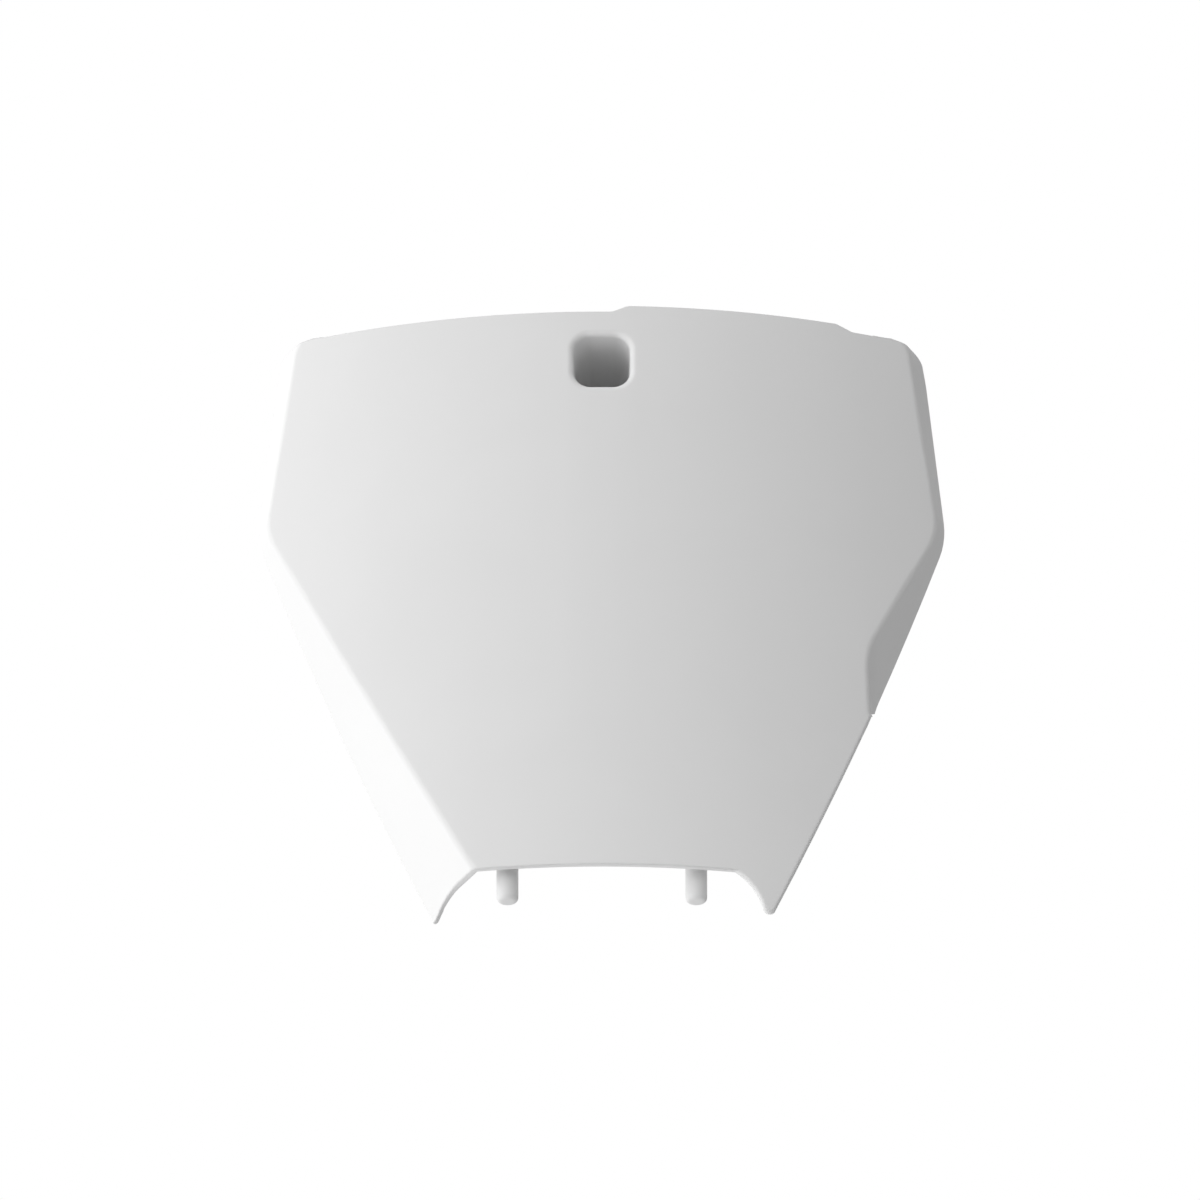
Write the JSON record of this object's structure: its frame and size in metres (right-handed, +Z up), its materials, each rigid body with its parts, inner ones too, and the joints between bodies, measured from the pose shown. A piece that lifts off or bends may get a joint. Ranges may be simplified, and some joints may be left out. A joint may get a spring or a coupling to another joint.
{
  "type": "racing number board",
  "caption": "Curved white front number board for an off-road motorbike, with folded-back side flanges, a hose bulge, a deep screw well and locating pegs below.",
  "frame": {"origin": "centre of the screw hole on the seat, the flat rear end of the screw well", "axes": "+X to the viewer's right when the face is looked at, -Y out of the face to the front, +Z up the board"},
  "size_m": [0.2496, 0.048, 0.2423],
  "materials": {
    "moulding": "white injection-moulded polypropylene, satin"
  },
  "bodies": {
    "root": {"number_board": "moulding"}
  },
  "joints": []
}
